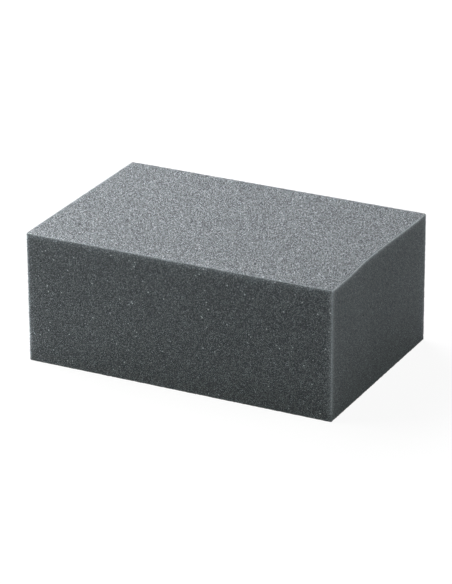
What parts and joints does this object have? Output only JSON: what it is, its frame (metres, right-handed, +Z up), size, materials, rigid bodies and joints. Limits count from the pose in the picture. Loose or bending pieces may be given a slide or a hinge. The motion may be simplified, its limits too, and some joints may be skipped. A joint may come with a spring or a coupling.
{
  "type": "grout sponge",
  "caption": "Plain dark-grey block of fine open-cell foam, a hand sponge for washing down grout and tiles.",
  "frame": {"origin": "middle of the bottom face, which the sponge rests on", "axes": "+X along the length, towards the end with the shallow hollow; +Y from the front face to the back face; +Z up"},
  "size_m": [0.16, 0.106, 0.066],
  "materials": {
    "foam": "matt, fine open cells, dark grey"
  },
  "bodies": {
    "root": {"sponge": "foam"}
  },
  "joints": []
}
